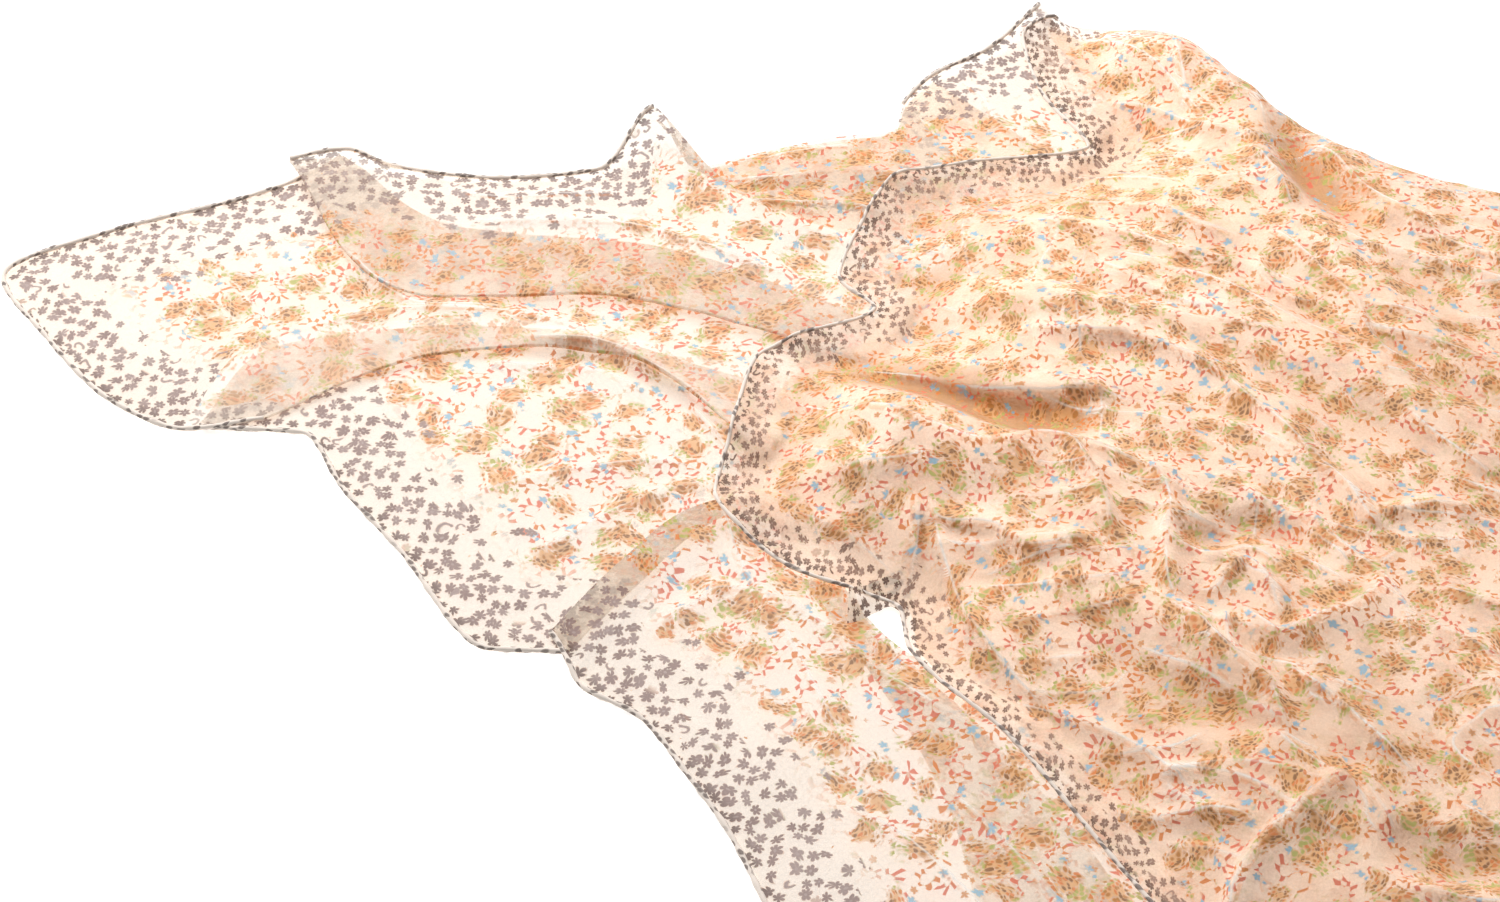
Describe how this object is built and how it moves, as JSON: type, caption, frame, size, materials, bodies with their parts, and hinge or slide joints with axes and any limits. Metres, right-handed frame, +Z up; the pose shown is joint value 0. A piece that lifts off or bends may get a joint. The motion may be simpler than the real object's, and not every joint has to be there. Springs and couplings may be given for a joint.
{
  "type": "chiffon scarf",
  "caption": "Sheer oblong chiffon scarf folded across and dropped on a flat surface, its rolled-hem end heaped over pleats that fan out to one side.",
  "frame": {"origin": "middle of the bounding box in plan, on the surface that the scarf lies on", "axes": "+Z up; +X from the fanned pleats towards the bend of the cloth; +Y away from the viewer"},
  "size_m": [0.8304, 0.5638, 0.0312],
  "materials": {
    "chiffon": "sheer, soft satin sheen",
    "inner_plies": "matte",
    "rolled_hem": "matte"
  },
  "bodies": {
    "root": {"lower_stretch": "chiffon", "upper_stretch": "chiffon", "hidden_layers": "inner_plies", "lower_patch_hem": "rolled_hem", "lower_strip_hem": "rolled_hem", "lower_tip_hem": "rolled_hem", "lower_fan_hem": "rolled_hem", "lower_flare_hem": "rolled_hem", "upper_end_hem": "rolled_hem"}
  },
  "joints": []
}
